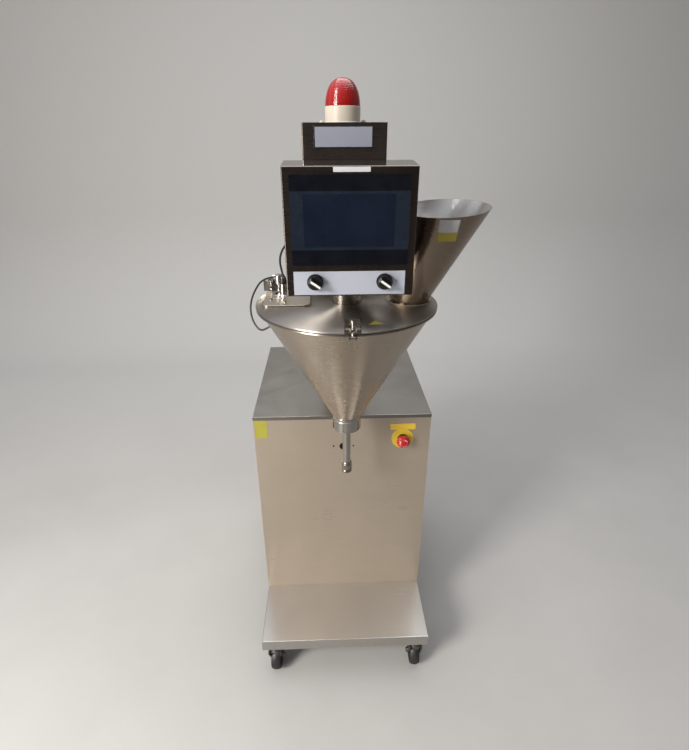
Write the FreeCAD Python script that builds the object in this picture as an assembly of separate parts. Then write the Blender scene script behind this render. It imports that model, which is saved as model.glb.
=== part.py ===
import FreeCAD, Part
import math
import os

# Auger powder filler: a wheeled stainless cabinet with a column that carries a
# drive head, a conical hopper with a lid and a side feed funnel, an auger in a
# fill tube, a touch-screen control box and a beacon.
# Working frame: X to the operator's right, Y away from the operator, Z up from
# the floor; X = 0 is the cabinet's middle, Y = 0 is its front face. All shapes
# are moved by (SHIFT_X, SHIFT_Y) at export, so that the origin is the centre of
# the bounding box on the floor.

# ---------------------------------------------------------------- dimensions
CAB_W = 478.0          # cabinet and base width
CAB_D = 487.0          # cabinet depth
TRAY_Z = 138.0         # top of the base tray above the floor
TRAY_LIP = 34.0        # height of the tray's folded edge
TRAY_FRONT = 197.0     # how far the tray reaches in front of the cabinet
CAB_TOP = 762.0        # top of the cabinet cover
COVER_LIP = 10.0       # folded edge of the cabinet cover
SHEET = 1.5

CASTER_X = 204.0       # swivel axis from the middle
CASTER_YF = -181.0     # front swivel axes
CASTER_YR = 462.0      # rear swivel axes
WHEEL_R = 40.0
WHEEL_W = 28.0
TRAIL = 16.0
CASTER_ANGLE = {"fl": 4.0, "fr": 2.0, "rl": 8.0, "rr": 5.0}

HX, HY = 7.0, -100.0   # hopper and auger axis
LID_Z = 1109.0         # top of the hopper lid
LID_R = 195.0
CONE_Z0, CONE_R0 = 825.0, 33.5
CONE_Z1, CONE_R1 = 1101.0, 187.8
CONE_T = 2.0
NUT_Z0, NUT_Z1, NUT_R = 790.0, 826.0, 34.4
TUBE_Z0 = 658.0        # tip of the fill tube
TUBE_R, TUBE_BORE = 10.0, 8.0
COLLAR_R, COLLAR_H = 13.0, 31.0
SHAFT_R = 6.0
SLEEVE_R = 10.0

FUN_X0, FUN_Y0, FUN_R0 = 143.0, -93.0, 42.0          # funnel foot on the lid
FUN_X1, FUN_Y1, FUN_Z1, FUN_R1 = 206.3, -100.0, 1300.6, 91.0  # funnel rim
FUN_TX, FUN_TY = 4.2, -3.0                           # tilt of the rim, degrees
FUN_T = 1.5

HOUS_X0, HOUS_X1 = -73.0, 74.0
HOUS_Y0, HOUS_Y1 = -195.0, -35.0
HOUS_Z0, HOUS_Z1 = 1161.0, 1451.5
NECK_R = 33.0           # round neck between the lid and the drive housing

BOX_X0, BOX_X1 = -106.0, 120.0
BOX_Y0, BOX_Y1 = -270.0, -197.0
BOX_Z0, BOX_Z1 = 1171.0, 1387.0
ROOF = 6.0             # rise of the box's roof to the back
HMI_X, HMI_Z, HMI_W, HMI_H = 6.5, 1301.5, 200.4, 146.5
SCR_W, SCR_H = 154.1, 85.9

BEACON_X, BEACON_Y, BEACON_R = 0.0, -115.0, 32.5
BEACON_Z1, BEACON_Z2 = 1479.5, 1524.5

ESTOP_X, ESTOP_Z = 164.0, 687.0
SOCK_X, SOCK_Z = 2.0, 665.5
KNOB_Z = 1197.5
KNOB_X = (-55.0, 68.0)

GEAR_M, GEAR_T, PINION_T = 2.0, 36, 18
SENS_X, SENS_Y = -132.5, -50.0
PLATE = (-172.0, -70.0, -138.0, -24.0)               # sensor mounting plate on the lid
PLATE_T = 4.0
GLAND_C = (-146.0, -11.0, 1142.5)                   # interlock switch gland
GLAND_D = (-0.98885, -0.1000, -0.1105)
GLAND_L = 13.0
BOSS_Z = 1055.0                                     # where the loop cable enters the hopper wall

SHIFT_X, SHIFT_Y = -28.137, -105.791

V = FreeCAD.Vector
X, Y, Z = V(1, 0, 0), V(0, 1, 0), V(0, 0, 1)
parts = {}


# ------------------------------------------------------------------- helpers
def box(x0, x1, y0, y1, z0, z1):
    return Part.makeBox(x1 - x0, y1 - y0, z1 - z0, V(x0, y0, z0))


def cyl(r, x, y, z, h, d=Z):
    return Part.makeCylinder(r, h, V(x, y, z), d)


def ring(ro, ri, x, y, z, h, d=Z):
    return cyl(ro, x, y, z, h, d).cut(cyl(ri, x, y, z, h, d))


def fuse(shapes):
    out = shapes[0]
    for s in shapes[1:]:
        out = out.fuse(s)
    return out.removeSplitter()


def group(shapes):
    return Part.makeCompound(shapes)


def revolve(pts, x, y, angle=360.0):
    """Profile of (radius, z) points turned about the vertical through (x, y)."""
    w = Part.makePolygon([V(r, 0, z) for r, z in pts] + [V(pts[0][0], 0, pts[0][1])])
    s = Part.Face(w).revolve(V(0, 0, 0), Z, angle)
    s.translate(V(x, y, 0))
    return s


def prism(pts, d):
    """Face through points, pushed along d."""
    w = Part.makePolygon([V(*p) for p in pts] + [V(*pts[0])])
    return Part.Face(w).extrude(d)


def hexagon(af, x, y, z, h, turn=0.0):
    r = af / math.sqrt(3.0)
    pts = []
    for i in range(6):
        a = math.radians(60 * i + turn)
        pts.append((x + r * math.cos(a), y + r * math.sin(a), z))
    return prism(pts, V(0, 0, h))


def along_y(s, x, y, z):
    """Shape made about the Z axis is laid with +Z pointing to -Y, then moved."""
    s = s.copy()
    s.rotate(V(0, 0, 0), X, 90)
    s.translate(V(x, y, z))
    return s


def fillet(s, r, test):
    edges = [e for e in s.Edges if test(e)]
    return s.makeFillet(r, edges) if edges else s


# ---------------------------------------------------------------------- base
def base():
    w = CAB_W / 2
    outer = box(-w, w, -TRAY_FRONT, CAB_D, TRAY_Z - TRAY_LIP, TRAY_Z)
    outer = fillet(outer, 2.5, lambda e: all(abs(v.Z - TRAY_Z) < 1e-6 for v in e.Vertexes))
    inner = box(-w + 2, w - 2, -TRAY_FRONT + 2, CAB_D - 2, TRAY_Z - TRAY_LIP - 1, TRAY_Z - 2)
    tray = outer.cut(inner)
    # seam line in front of the cabinet
    parts["base_tray"] = tray.cut(box(-w - 1, w + 1, -0.9, -0.4, TRAY_Z - 0.3, TRAY_Z + 1))

    zb, zt = TRAY_Z - 34.0, TRAY_Z - 2.0

    def channel(x0, x1, y0, y1, long_x):
        o = box(x0, x1, y0, y1, zb, zt)
        if long_x:
            i = box(x0 - 1, x1 + 1, y0 + 3, y1 - 3, zb + 3, zt + 1)
        else:
            i = box(x0 + 3, x1 - 3, y0 - 1, y1 + 1, zb + 3, zt + 1)
        return o.cut(i)

    f = channel(-w + 3, w - 3, -TRAY_FRONT + 3, -TRAY_FRONT + 85, True)
    r = channel(-w + 3, w - 3, CAB_D - 85, CAB_D - 3, True)
    a = channel(-150, -110, -TRAY_FRONT + 85, CAB_D - 85, False)
    b = channel(110, 150, -TRAY_FRONT + 85, CAB_D - 85, False)
    frame = fuse([f, r, a, b])
    for x, y in caster_axes().values():
        frame = frame.cut(cyl(6.2, x, y, zb - 1, 6))
    parts["base_frame"] = frame


def caster_axes():
    return {
        "fl": (-CASTER_X, CASTER_YF), "fr": (CASTER_X, CASTER_YF),
        "rl": (-CASTER_X, CASTER_YR), "rr": (CASTER_X, CASTER_YR),
    }


def casters():
    zb = TRAY_Z - 34.0
    fixed = []
    for k, (x, y) in caster_axes().items():
        # pressed head with a hub tube, held by an M12 bolt, washer and nut
        head = fuse([cyl(16, x, y, zb - 7, 7), cyl(9, x, y, zb - 13.6, 6.6)]).cut(cyl(6, x, y, zb - 17, 18))
        bolt = fuse([hexagon(19, x, y, zb + 3, 7.5), cyl(6, x, y, zb - 23.4, 26.4)])
        nut = fuse([cyl(13, x, y, zb - 15.6, 2), hexagon(18, x, y, zb - 22.6, 7)]).cut(cyl(6, x, y, zb - 27, 14))
        fixed += [head, bolt, nut]
        # fork: crown that turns on the hub tube, two pressed legs
        c0 = zb - 13.3
        crown = cyl(20, 0, 0, c0, 6.0)
        shapes = [crown]
        for s in (-1, 1):
            y0 = 15.5 if s > 0 else -18.0
            leg = prism([(-19, y0, c0 + 6.0), (19, y0, c0 + 6.0), (TRAIL + 11, y0, WHEEL_R - 2),
                         (TRAIL + 7, y0, WHEEL_R - 10), (TRAIL - 7, y0, WHEEL_R - 10),
                         (TRAIL - 11, y0, WHEEL_R - 2), (-19, y0, c0 - 4)], V(0, 2.5, 0))
            shapes.append(leg)
        fork = fuse(shapes)
        fork = fork.cut(cyl(9.05, 0, 0, c0 - 2, 12))
        fork = fork.cut(cyl(4.0, TRAIL, -25, WHEEL_R, 50, Y))
        axle = fuse([cyl(4.0, TRAIL, -22, WHEEL_R, 44, Y), cyl(7.0, TRAIL, 18, WHEEL_R, 5, Y),
                     cyl(7.0, TRAIL, -23, WHEEL_R, 5, Y)])
        # wheel: rubber tyre on a hub, with a rounded tread
        prof = []
        hw = WHEEL_W / 2
        prof = [(4.06, -hw), (11, -hw), (12, -hw + 3), (28, -hw + 3), (30, -hw + 1), (WHEEL_R - 4, -hw + 1)]
        for i in range(0, 9):
            t = -1 + i / 4.0
            prof.append((WHEEL_R - 4.0 * t * t, t * (hw - 1)))
        prof += [(30, hw - 1), (28, hw - 3), (12, hw - 3), (11, hw), (4.06, hw)]
        clean = []
        for p in prof:
            if not clean or abs(p[0] - clean[-1][0]) + abs(p[1] - clean[-1][1]) > 1e-6:
                clean.append(p)
        wheel = revolve(clean, 0, 0)
        wheel.rotate(V(0, 0, 0), X, -90)
        wheel.translate(V(TRAIL, 0, WHEEL_R))
        # the local +X is the trailing direction; it points to (sin a, cos a)
        a = 90.0 - CASTER_ANGLE[k]
        for name, s in (("fork_" + k, group([fork, axle])), ("wheel_" + k, wheel)):
            s.rotate(V(0, 0, 0), Z, a)
            s.translate(V(x, y, 0))
            parts[name] = s
    parts["caster_swivels"] = group(fixed)


# ------------------------------------------------------------------- cabinet
def cabinet():
    w = CAB_W / 2
    z0, z1 = TRAY_Z, CAB_TOP - COVER_LIP
    shell = box(-w, w, SHEET, CAB_D, z0, z1).cut(
        box(-w + SHEET, w - SHEET, 2 * SHEET, CAB_D - SHEET, z0 - 1, z1 + 1))
    shell = shell.cut(box(-w + 26, w - 26, 0, 10, z0 + 25, z1 - 25))
    shell = shell.cut(box(-w + 26, w - 26, CAB_D - 5, CAB_D + 1, z0 + 25, z1 - 25))
    inlet_y, inlet_z = 420.0, 210.0
    shell = shell.cut(box(-w - 1, -w + 2, inlet_y - 13.5, inlet_y + 13.5, inlet_z - 10, inlet_z + 10))
    parts["cabinet_shell"] = shell

    front = box(-w, w, 0, SHEET, z0, z1)
    front = front.cut(cyl(11.2, ESTOP_X, -1, ESTOP_Z, 4, Y)).cut(cyl(9.2, SOCK_X, -1, SOCK_Z, 4, Y))
    parts["front_panel"] = front

    o = box(-w - 0.4, w + 0.4, -0.6, CAB_D + 0.6, CAB_TOP - COVER_LIP, CAB_TOP)
    o = fillet(o, 1.6, lambda e: all(abs(v.Z - CAB_TOP) < 1e-6 for v in e.Vertexes))
    i = box(-w + 1.1, w - 1.1, 0.9, CAB_D - 0.9, CAB_TOP - COVER_LIP - 1, CAB_TOP - SHEET)
    parts["top_cover"] = o.cut(i).cut(cyl(28, 7, 170, CAB_TOP - 3, 5))

    # rear door on two lift-off knuckle hinges
    dz0, dz1 = z0 + 13, z1 - 13
    hx, hy = -w + 8.0, CAB_D + 6.0
    door = box(-w + 13, w - 13, CAB_D + 0.4, CAB_D + 2.4, dz0, dz1)
    shapes, fixed = [door], []
    for hz in (dz0 + 70, dz1 - 110):
        shapes.append(box(hx, hx + 30, CAB_D + 2.4, CAB_D + 4.4, hz + 20.4, hz + 40))
        shapes.append(cyl(4, hx, hy, hz + 20.4, 19.6))
        f = fuse([box(-w + 0.5, hx + 3.9, CAB_D, CAB_D + 2, hz, hz + 20),
                  box(hx - 4, hx, CAB_D, hy, hz, hz + 20), cyl(4, hx, hy, hz, 20), cyl(2, hx, hy, hz, 39)])
        fixed.append(f)
    door = fuse(shapes)
    for hz in (dz0 + 70, dz1 - 110):
        door = door.cut(cyl(2.05, hx, hy, hz + 19, 22))
    lx, lz = w - 36.0, (dz0 + dz1) / 2
    door = door.cut(cyl(4.06, lx, CAB_D - 2, lz, 8, Y))
    # louvre slots for cooling air
    for i in range(7):
        zz = dz1 - 60 - 12 * i
        door = door.cut(box(-70, 70, CAB_D - 1, CAB_D + 4, zz, zz + 5))
        if i < 7:
            door = door.cut(box(-70, 70, CAB_D - 1, CAB_D + 4, dz0 + 50 + 12 * i, dz0 + 55 + 12 * i))
    parts["rear_door"] = door
    parts["door_hinges"] = group(fixed)
    latch = fuse([cyl(10, lx, CAB_D + 2.7, lz, 3, Y), box(lx - 2.5, lx + 2.5, CAB_D + 2.7, CAB_D + 14, lz - 11, lz + 11),
                  cyl(4, lx, CAB_D - 12, lz, 16, Y), box(lx - 5, lx + 5, CAB_D - 9, CAB_D - 6, lz - 5, lz + 26)])
    parts["door_latch"] = latch

    # equipment plate with servo drive, power supply and terminals
    mp = box(-180, 180, 240, 242, 180, 700)
    legs = [fuse([box(s * 150 - 12, s * 150 + 12, 240, 242, z0, 200), box(s * 150 - 12, s * 150 + 12, 240, 266, z0, z0 + 2)])
            for s in (-1, 1)]
    parts["mounting_plate"] = fuse([mp] + legs)
    drive = fuse([box(-150, -95, 242, 372, 480, 640), box(-146, -99, 372, 378, 600, 632)])
    psu = box(-60, 40, 242, 340, 500, 630)
    rail = box(-160, 160, 242, 249, 352, 387)
    terms = [box(-150 + 9 * i, -143 + 9 * i, 249, 290, 345, 394) for i in range(12)]
    relay = [box(20 + 18 * i, 36 + 18 * i, 249, 318, 330, 410) for i in range(5)]
    parts["control_units"] = group([drive, psu, rail] + terms + relay)

    # front panel socket with two screws, and the mains inlet on the side
    sock = fuse([cyl(11, SOCK_X, -1.0, SOCK_Z, 1.0, Y), cyl(9.1, SOCK_X, 0, SOCK_Z, 16, Y)])
    sock = sock.cut(cyl(7.4, SOCK_X, -2, SOCK_Z, 14, Y))
    screws = []
    for dx in (-27.2, 27.2):
        screws.append(cyl(2.3, SOCK_X + dx, -1.2, SOCK_Z + 0.6, 1.2, Y))
    inlet = fuse([box(-w - 2.0, -w, inlet_y - 24, inlet_y + 24, inlet_z - 14, inlet_z + 14),
                  box(-w, -w + 26, inlet_y - 13.4, inlet_y + 13.4, inlet_z - 9.9, inlet_z + 9.9)])
    inlet = inlet.cut(box(-w - 3, -w + 17, inlet_y - 12, inlet_y + 12, inlet_z - 8, inlet_z + 8))
    sock = fuse([sock] + screws)
    parts["sockets"] = group([sock, inlet])


def estop():
    x, z = ESTOP_X, ESTOP_Z
    disc = cyl(30, x, -1.5, z, 1.5, Y).cut(cyl(11.0, x, -2, z, 3, Y))
    plate = box(x - 34, x + 34, -0.8, 0, z + 28, z + 46)
    plate = plate.cut(cyl(30, x, -2, z, 3, Y))
    parts["estop_legend"] = group([disc, plate])
    b = fuse([cyl(14.5, x, -9, z, 7.5, Y), cyl(11, x, -1.5, z, 6, Y), cyl(14, x, SHEET, z, 11, Y)])
    b = b.cut(cyl(10.06, x, -10, z, 22, Y))
    blk = box(x - 15, x + 15, 12.5, 44, z - 20, z + 20)
    blocks = [fuse([b, blk])]
    for kx in KNOB_X:
        c = fuse([cyl(14.5, kx, BOX_Y0 - 5, KNOB_Z, 4, Y), cyl(11, kx, BOX_Y0 - 1, KNOB_Z, 20, Y),
                  box(kx - 15, kx + 15, BOX_Y0 + 19, BOX_Y0 + 52, KNOB_Z - 15, KNOB_Z + 20)])
        c = c.cut(cyl(5.06, kx, BOX_Y0 - 6, KNOB_Z, 22, Y))
        blocks.append(c)
    parts["contact_blocks"] = group(blocks)
    # mushroom head with a shallow dome and the stem that slides in the collar
    prof = [(0, -7), (10, -7), (10, 13.6), (14, 14.0), (17.2, 14.8), (18, 16.2), (18, 20), (17.2, 23), (14.5, 26),
            (10, 28.6), (5, 29.8), (0, 30.2)]
    m = revolve(prof, 0, 0)
    parts["estop_button"] = along_y(m, x, 0, z)


# ---------------------------------------------------------- column and head
def column():
    cx = 7.0
    outer = fuse([box(cx - 60, cx + 60, 130, 210, CAB_TOP, 1420), box(cx - 60, cx + 60, HOUS_Y1, 210, 1185, 1420)])
    inner = box(cx - 57, cx + 57, 133, 207, CAB_TOP - 1, 1417).fuse(box(cx - 57, cx + 57, HOUS_Y1 - 1, 207, 1188, 1417))
    fl = box(cx - 62, cx + 62, 108, 232, CAB_TOP, CAB_TOP + 8)
    c = fuse([outer, fl]).cut(inner)
    for dx in (-45, 45):
        for y in (119, 221):
            c = fuse([c, cyl(8, cx + dx, y, CAB_TOP + 7, 2.6), hexagon(13, cx + dx, y, CAB_TOP + 9, 5.9)])
    parts["column"] = c

    h = box(HOUS_X0, HOUS_X1, HOUS_Y0, HOUS_Y1, HOUS_Z0, HOUS_Z1)
    h = fillet(h, 2.0, lambda e: len(e.Vertexes) == 2 and abs(e.Vertexes[0].Z - e.Vertexes[1].Z) > 100)
    i = box(HOUS_X0 + 1.5, HOUS_X1 - 1.5, HOUS_Y0 + 1.5, HOUS_Y1 - 1.5, HOUS_Z0 + 3, HOUS_Z1 - 1.5)
    h = h.cut(i).cut(cyl(21, HX, HY, HOUS_Z0 - 1, 6))
    h = h.cut(box(cx - 50, cx + 50, HOUS_Y1 - 5, HOUS_Y1 + 1, 1200, 1405))
    shelf = box(HOUS_X0 + 1.5, HOUS_X1 - 1.5, HOUS_Y0 + 1.5, HOUS_Y1 - 1.5, 1188, 1194)
    shelf = shelf.cut(cyl(22, HX, HY, 1187, 8))
    posts = [cyl(4, HX + dx, HY + dy, 1194, 46) for dx in (-24, 24) for dy in (-24, 24)]
    h = fuse([h, shelf] + posts)
    gx = HX - GEAR_M * (GEAR_T + PINION_T) / 2
    h = h.cut(cyl(9, gx, HY, 1187, 8))
    h = h.cut(cyl(5.9, HOUS_X0 - 1, -100, 1246, 4, X)).cut(cyl(9, BEACON_X, BEACON_Y, HOUS_Z1 - 3, 5))
    parts["drive_housing"] = h


def gear(m, n, x, y, z, h, turn, bore):
    rp, ro, ri = m * n / 2.0, m * n / 2.0 + 0.95 * m, m * n / 2.0 - 1.2 * m
    pts = []
    for i in range(n):
        a = 2 * math.pi * i / n + turn
        p = 2 * math.pi / n
        for r, f in ((ri, -0.36), (rp, -0.225), (ro, -0.10), (ro, 0.10), (rp, 0.225), (ri, 0.36)):
            pts.append((x + r * math.cos(a + f * p), y + r * math.sin(a + f * p), z))
    g = prism(pts, V(0, 0, h))
    return g.cut(cyl(bore, x, y, z - 1, h + 2)) if bore else g


def drive():
    # servo motor: flange on the posts, body, end cap
    m = fuse([box(HX - 30, HX + 30, HY - 30, HY + 30, 1240, 1248), box(HX - 29, HX + 29, HY - 29, HY + 29, 1248, 1330),
              box(HX - 28, HX + 28, HY - 28, HY + 28, 1330, 1372), cyl(18, HX, HY, 1372, 6)])
    m = fillet(m, 4.0, lambda e: len(e.Vertexes) == 2 and abs(e.Vertexes[0].Z - e.Vertexes[1].Z) > 30
               and abs(e.Vertexes[0].X - e.Vertexes[1].X) < 1e-6 and abs(e.Vertexes[0].Y - e.Vertexes[1].Y) < 1e-6)
    m = m.cut(cyl(7.06, HX, HY, 1239, 22))
    parts["servo_motor"] = m
    bh = fillet(cyl(NECK_R, HX, HY, LID_Z, HOUS_Z0 - LID_Z), 1.2, lambda e: abs(e.Vertexes[0].Z - LID_Z) < 1e-6 and len(e.Vertexes) == 1)
    bh = bh.cut(cyl(21, HX, HY, LID_Z - 1, 60))
    lip = ring(21, 17, HX, HY, LID_Z, 4)
    parts["bearing_housing"] = fuse([bh, lip])
    parts["shaft_bearings"] = group([ring(21, SLEEVE_R + 0.05, HX, HY, LID_Z + 4, 12), ring(21, SLEEVE_R + 0.05, HX, HY, LID_Z + 40, 12)])

    gx = HX - GEAR_M * (GEAR_T + PINION_T) / 2
    gm = fuse([cyl(17.5, gx, HY, 1194, 30), cyl(16, gx, HY, 1224, 62)]).cut(cyl(4.06, gx, HY, 1193, 14))
    parts["agitator_motor"] = gm
    pin = gear(GEAR_M, PINION_T, gx, HY, 1173, 9, math.pi / PINION_T, 0)
    parts["agitator_pinion"] = fuse([pin, cyl(8, gx, HY, 1182, 4), cyl(4, gx, HY, 1180, 24)])

    # agitator: hollow sleeve, driven gear, two arms along the hopper wall
    k = (CONE_R1 - CONE_R0) / (CONE_Z1 - CONE_Z0)

    def wall(z):
        return CONE_R0 + k * (z - CONE_Z0) - CONE_T / math.cos(math.atan(k)) - 7

    zb, zt = 880.0, 1068.0
    blade = prism([(9, -4, zt + 8), (wall(zt), -4, zt + 8), (wall(zt), -4, zt), (wall(zb), -4, zb), (wall(zb) - 9, -4, zb),
                   (wall(zt) - 11, -4, zt - 4), (9, -4, zt - 4)], V(0, 8, 0))
    blade2 = blade.copy()
    blade2.rotate(V(0, 0, 0), Z, 180)
    foot = box(27, wall(zb) - 4, -4, 4, zb, zb + 8)
    foot2 = box(-wall(zb) + 4, -27, -4, 4, zb, zb + 8)
    body = fuse([blade, blade2, foot, foot2, cyl(15, 0, 0, 1060, 20), ring(31, 26.5, 0, 0, zb, 8)])
    body.rotate(V(0, 0, 0), Z, 25)
    body.translate(V(HX, HY, 0))
    g = gear(GEAR_M, GEAR_T, HX, HY, 1172, 10, 0.0, 0)
    a = fuse([cyl(SLEEVE_R, HX, HY, 1060, 122), body, g, cyl(14, HX, HY, 1166, 16)])
    parts["agitator"] = a.cut(cyl(SHAFT_R + 0.08, HX, HY, 1050, 140))

    # auger: shaft, hopper flight, tube flight
    def flight(ro, ri, pitch, z0, h, t):
        hx = Part.makeHelix(pitch, h, (ro + ri) / 2.0)
        w = (ro - ri)
        c = (ro + ri) / 2.0
        prof = Part.makePolygon([V(c - w / 2, 0, -t / 2), V(c + w / 2, 0, -t / 2), V(c + w / 2, 0, t / 2),
                                 V(c - w / 2, 0, t / 2), V(c - w / 2, 0, -t / 2)])
        s = Part.Wire(hx).makePipeShell([prof], True, True)
        s.translate(V(0, 0, z0))
        return s

    f1 = flight(7.6, 2.2, 15.0, TUBE_Z0 + 2, 135.0, 1.6)
    f2 = flight(21.0, 4.5, 21.0, 834.0, 84.0, 2.0)
    shaft = fuse([cyl(3.0, 0, 0, TUBE_Z0 + 1, 160), cyl(SHAFT_R, 0, 0, 812, 403)])
    au = shaft.fuse(f1).fuse(f2)
    au.translate(V(HX, HY, 0))
    parts["auger"] = au
    cp = fuse([cyl(15, HX, HY, 1196, 16), cyl(14, HX, HY, 1212, 8), cyl(15, HX, HY, 1220, 15), cyl(7, HX, HY, 1235, 22)])
    parts["shaft_coupling"] = cp.cut(cyl(SHAFT_R, HX, HY, 1195, 20))


# -------------------------------------------------------------------- hopper
def funnel_solid(dr, dz0, dz1):
    """Oblique cone between the foot circle and the tilted rim circle."""
    def circle(r):
        return Part.Circle(V(0, 0, 0), Z, r).toShape()
    low = circle(FUN_R0 + dr)
    low.translate(V(FUN_X0, FUN_Y0, LID_Z))
    high = circle(FUN_R1 + dr)
    high.rotate(V(0, 0, 0), X, FUN_TX)
    high.rotate(V(0, 0, 0), Y, FUN_TY)
    high.translate(V(FUN_X1, FUN_Y1, FUN_Z1))
    return Part.makeLoft([Part.Wire([low]), Part.Wire([high])], True, True)


def clamp_turn(s, i):
    s = s.copy()
    s.rotate(V(0, 0, 0), Z, 1.0 + 120.0 * i)
    s.translate(V(HX, HY, 0))
    return s


def hopper():
    lid = revolve([(0, LID_Z - 3.5), (LID_R - 1.0, LID_Z - 3.5), (LID_R, LID_Z - 2.8), (LID_R, LID_Z - 0.9), (LID_R - 0.9, LID_Z),
                   (0, LID_Z)], HX, HY)
    lid = lid.cut(cyl(16, HX, HY, LID_Z - 5, 8)).cut(cyl(FUN_R0 - FUN_T, FUN_X0, FUN_Y0, LID_Z - 5, 8))
    lid = lid.cut(cyl(7.5, SENS_X, SENS_Y, LID_Z - 5, 8))
    parts["hopper_lid"] = lid
    parts["hopper_gasket"] = ring(LID_R - 2, 184, HX, HY, LID_Z - 5.5, 2)
    k = (CONE_R1 - CONE_R0) / (CONE_Z1 - CONE_Z0)
    t = CONE_T / math.cos(math.atan(k))
    prof = [(CONE_R1, CONE_Z1), (LID_R - 0.5, CONE_Z1), (LID_R - 0.5, LID_Z - 5.5), (CONE_R1 - t, LID_Z - 5.5),
            (CONE_R1 - t - 0.6, CONE_Z1 - 1.0), (CONE_R0 - t, CONE_Z0), (26.5, CONE_Z0 - 5.0), (26.5, 803.0), (30.0, 803.0),
            (30.0, CONE_Z0 - 2.0), (CONE_R0, CONE_Z0 + 1.5)]
    cone = revolve(prof, HX, HY)
    boss_z = BOSS_Z
    r_b = CONE_R0 + k * (boss_z - CONE_Z0)
    n = V(-math.cos(math.atan(k)), 0, -math.sin(math.atan(k)))
    boss = Part.makeCylinder(4.5, 7.0, V(HX - r_b, HY + 6, boss_z) - n * 2.0, n)
    boss = boss.cut(Part.makeCylinder(2.2, 3.0, V(HX - r_b, HY + 6, boss_z) + n * 3.0, n))
    inside = revolve([(0, CONE_Z0), (CONE_R0 - 0.8, CONE_Z0), (CONE_R1 - 0.8, CONE_Z1), (0, CONE_Z1)], HX, HY)
    cone = fuse([cone, boss.cut(inside)])
    parts["hopper_cone"] = cone

    # three swing-bolt clamps: U-shaped lug on the lid, ears and pin on the cone
    pz, pr_ = 1101.0, 200.0
    seat = 13.0
    lug = fuse([box(-15.5, 15.5, -190, -188, LID_Z, 1134), box(-15.5, -13.5, -206, -190, LID_Z + 1, 1134),
                box(13.5, 15.5, -206, -190, LID_Z + 1, 1134),
                box(-15.5, -6.7, -206, -204, LID_Z + 2.5, LID_Z + 10), box(6.7, 15.5, -206, -204, LID_Z + 2.5, LID_Z + 10),
                box(-13.5, 13.5, -204.5, -190, LID_Z + 1, LID_Z + 5).common(cyl(seat, -20, -pr_, pz, 40, X))])
    lug = lug.cut(box(-3.6, 3.6, -210, -193, LID_Z - 5, LID_Z + 8)).cut(cyl(LID_R + 0.0, 0, 0, LID_Z - 5, 5))
    ears = []
    for s in (-1, 1):
        x0 = 4.6 if s > 0 else -7.6
        ears.append(prism([(x0, -LID_R + 3, 1101.0), (x0, -LID_R + 3, 1097.0), (x0, -202, 1096.8), (x0, -204.5, 1099), (x0, -204.5, 1103.5),
                           (x0, -202.0, 1105.0), (x0, -196.5, 1105.0), (x0, -196.5, 1101.0)], V(3.0, 0, 0)))
    pin = cyl(2.0, -9.0, -pr_, pz, 18.0, X)
    ear = fuse(ears + [pin])
    ear = ear.cut(cyl(LID_R - 0.5, 0, 0, 1101.0, 10))
    rod = fuse([cyl(4.0, -4.2, -pr_, pz, 8.4, X), cyl(2.5, 0, -pr_, pz, 31)])
    nut = fuse([hexagon(10, 0, -pr_, LID_Z + 1, 9.0), cyl(3.4, 0, -pr_, pz + 29, 5)])
    nut = nut.cut(cyl(seat + 0.35, -20, -pr_, pz, 40, X))
    bolt = fuse([rod, nut]).cut(cyl(2.05, -10, -pr_, pz, 20, X))
    parts["lid_lugs"] = group([clamp_turn(lug, i) for i in range(3)])
    parts["cone_lugs"] = group([clamp_turn(ear, i) for i in range(3)])
    for i, nm in enumerate(("front", "right", "left")):
        parts["swing_bolt_" + nm] = clamp_turn(bolt, i)

    # slotted union nut, tube with its collar end, seal under the flange
    nut = revolve([(27.2, NUT_Z0), (NUT_R - 1.5, NUT_Z0), (NUT_R, NUT_Z0 + 1.5), (NUT_R, NUT_Z1 - 8), (NUT_R - 1.2, NUT_Z1 - 6.5),
                   (NUT_R - 1.2, NUT_Z1 - 1), (NUT_R - 2.2, NUT_Z1), (30.0, NUT_Z1), (30.0, NUT_Z0 + 7), (27.2, NUT_Z0 + 7)], HX, HY)
    nut = nut.cut(cyl(27.2, HX, HY, NUT_Z0 - 1, 5))
    for i in range(6):
        s = box(NUT_R - 2.8, NUT_R + 3, -4.5, 4.5, NUT_Z0 + 4, NUT_Z1 - 9)
        s.rotate(V(0, 0, 0), Z, 60 * i + 20)
        s.translate(V(HX, HY, 0))
        nut = nut.cut(s)
    nut = nut.cut(revolve([(0, CONE_Z0 - 3.0), (29.5, CONE_Z0 - 3.0), (CONE_R0, CONE_Z0 + 1.5), (CONE_R0, CONE_Z0 + 4), (0, CONE_Z0 + 4)], HX, HY))
    parts["union_nut"] = nut
    tube = fuse([cyl(TUBE_R, HX, HY, TUBE_Z0 + 2, NUT_Z0 + 7 - TUBE_Z0 - 2), cyl(26.9, HX, HY, NUT_Z0 + 0.4, 6.6),
                 cyl(29.6, HX, HY, NUT_Z0 + 7, 6)])
    bore = revolve([(0, TUBE_Z0 - 1), (TUBE_BORE, TUBE_Z0 - 1), (TUBE_BORE, 788.0), (26.5, 803.0), (26.5, 804.0), (0, 804.0)], HX, HY)
    parts["fill_tube"] = tube.cut(bore)
    col = revolve([(TUBE_R, TUBE_Z0), (COLLAR_R - 1, TUBE_Z0), (COLLAR_R, TUBE_Z0 + 1), (COLLAR_R, TUBE_Z0 + COLLAR_H - 4),
                   (TUBE_R + 0.8, TUBE_Z0 + COLLAR_H), (TUBE_R, TUBE_Z0 + COLLAR_H)], HX, HY)
    lip = revolve([(TUBE_BORE, TUBE_Z0), (TUBE_R, TUBE_Z0), (TUBE_R, TUBE_Z0 + 2), (TUBE_BORE, TUBE_Z0 + 2)], HX, HY)
    parts["tip_collar"] = fuse([col, lip])

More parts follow.
